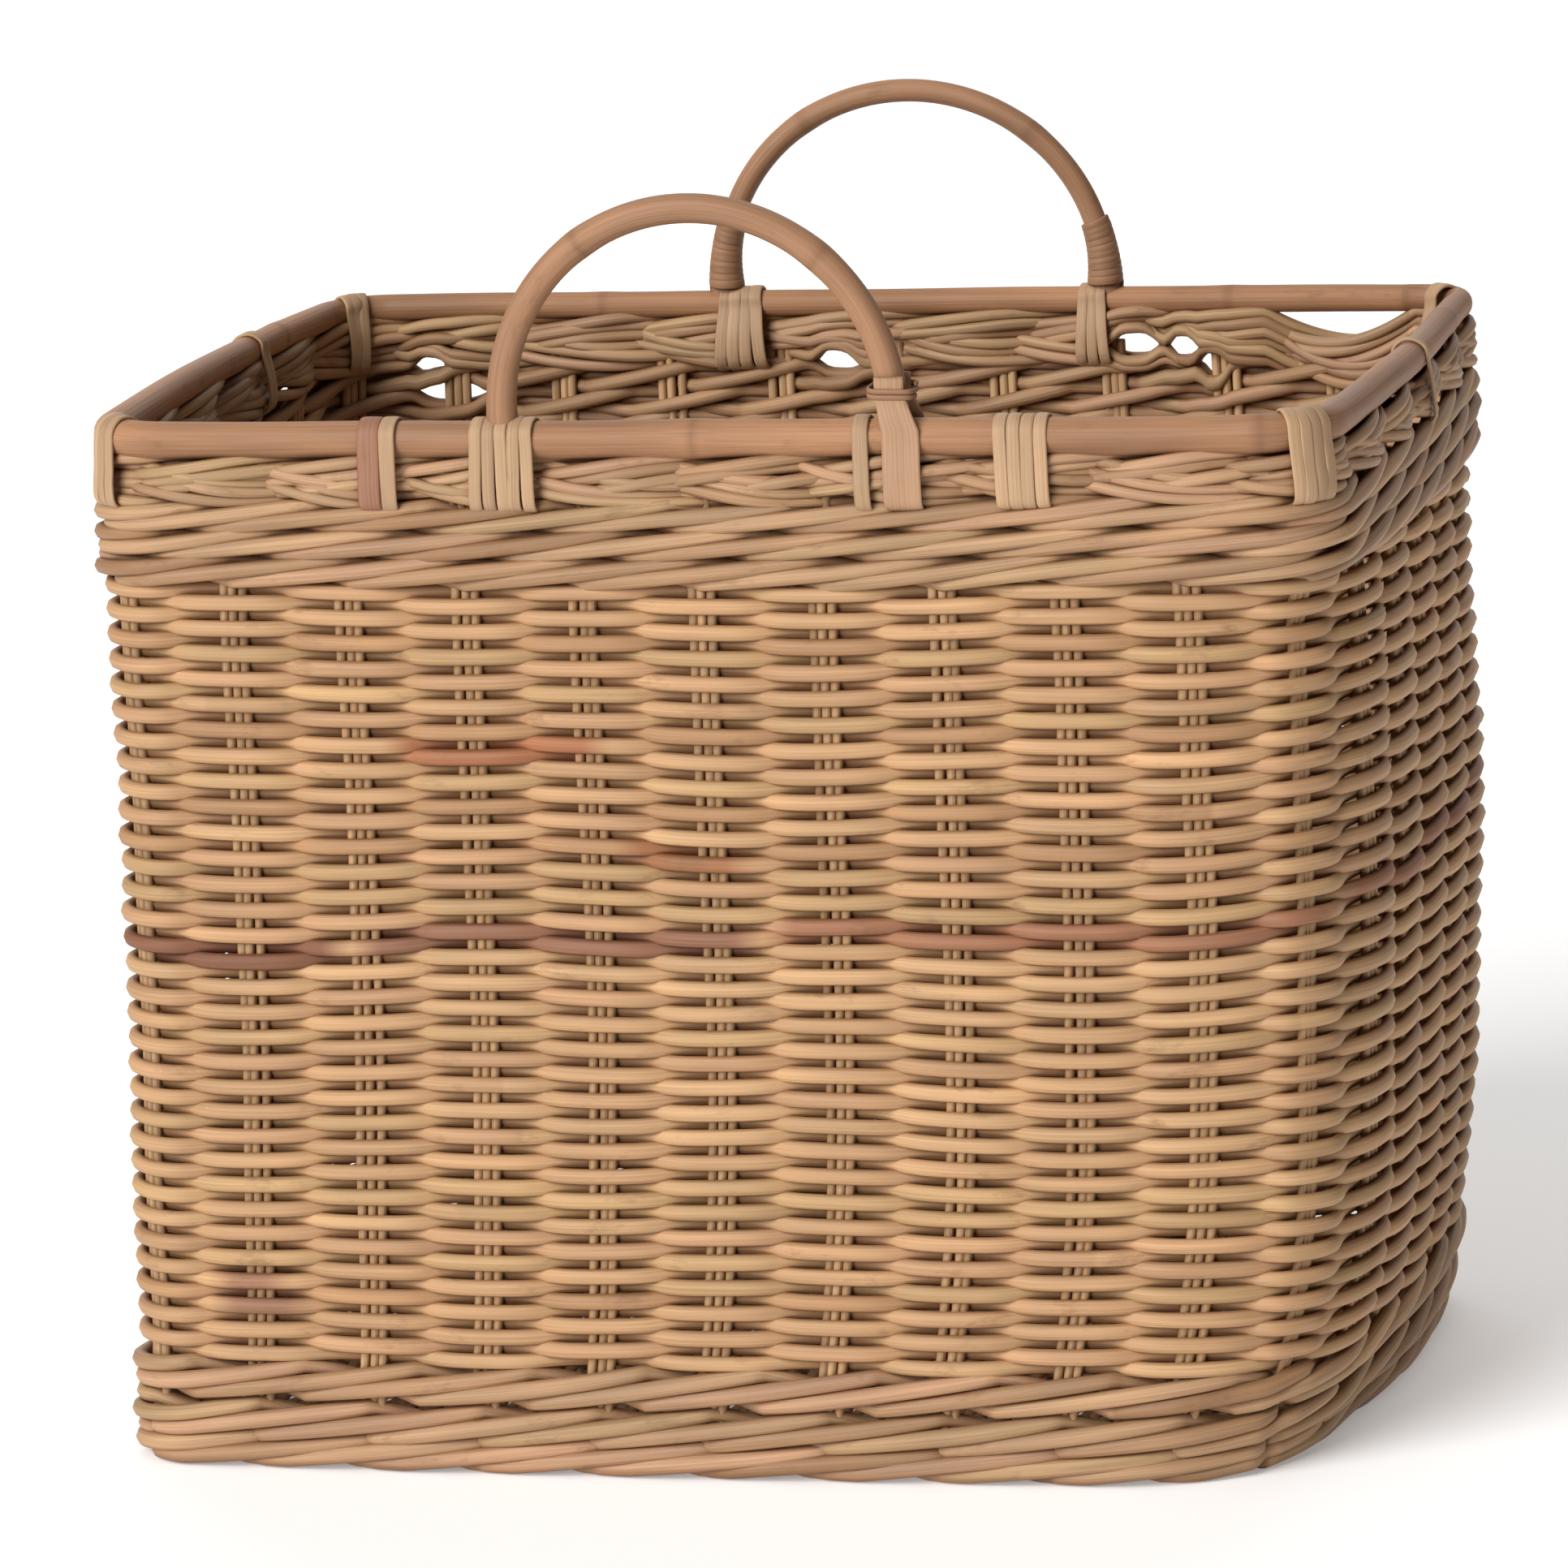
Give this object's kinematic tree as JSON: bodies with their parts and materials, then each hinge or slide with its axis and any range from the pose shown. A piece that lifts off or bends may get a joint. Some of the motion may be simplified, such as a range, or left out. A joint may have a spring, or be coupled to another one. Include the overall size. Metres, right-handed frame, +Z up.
{
  "type": "log basket",
  "caption": "Rectangular wicker log basket with a cane rim, a plaited border, heavy waled bands and an upright hoop handle on each long side.",
  "frame": {"origin": "centre of the footprint, on the surface that the basket stands on", "axes": "+Z up, +X along the long sides to the right, +Y from the front to the back"},
  "size_m": [0.5349, 0.3489, 0.5263],
  "materials": {
    "weaver": "natural round weaver cane, light tan, satin",
    "stake_rod": "natural upright rods, tan, satin",
    "base_weaver": "natural round weaver cane, tan, matt",
    "border_rod": "natural thick rods, light tan, satin",
    "rim_cane": "peeled thick cane, pinkish tan, satin",
    "handle_cane": "peeled bent cane, orange tan, satin",
    "binding_cane": "split cane strand, pale tan, satin"
  },
  "bodies": {
    "root": {"base_sticks": "stake_rod", "base_weave": "base_weaver", "foot_border": "border_rod", "foot_wale": "border_rod", "front_stakes": "stake_rod", "back_stakes": "stake_rod", "left_stakes": "stake_rod", "right_stakes": "stake_rod", "corner_stakes": "stake_rod", "front_wall_weave": "weaver", "back_wall_weave": "weaver", "left_wall_weave": "weaver", "right_wall_weave": "weaver", "upper_wale": "border_rod", "plaited_border": "border_rod", "rim_cane": "rim_cane", "front_handle": "handle_cane", "back_handle": "handle_cane", "front_handle_left_strands": "binding_cane", "front_handle_right_tongue": "binding_cane", "front_handle_right_whipping": "binding_cane", "back_handle_left_strands": "binding_cane", "back_handle_right_strands": "binding_cane", "back_handle_left_collar": "binding_cane", "back_handle_right_collar": "binding_cane", "front_left_corner_binding": "binding_cane", "front_left_red_binding": "binding_cane", "front_left_light_binding": "binding_cane", "front_right_handle_tie": "binding_cane", "front_right_binding": "binding_cane", "front_right_corner_binding": "binding_cane", "back_left_corner_binding": "binding_cane", "back_right_corner_binding": "binding_cane", "left_side_tie": "binding_cane", "right_side_tie": "binding_cane"}
  },
  "joints": []
}
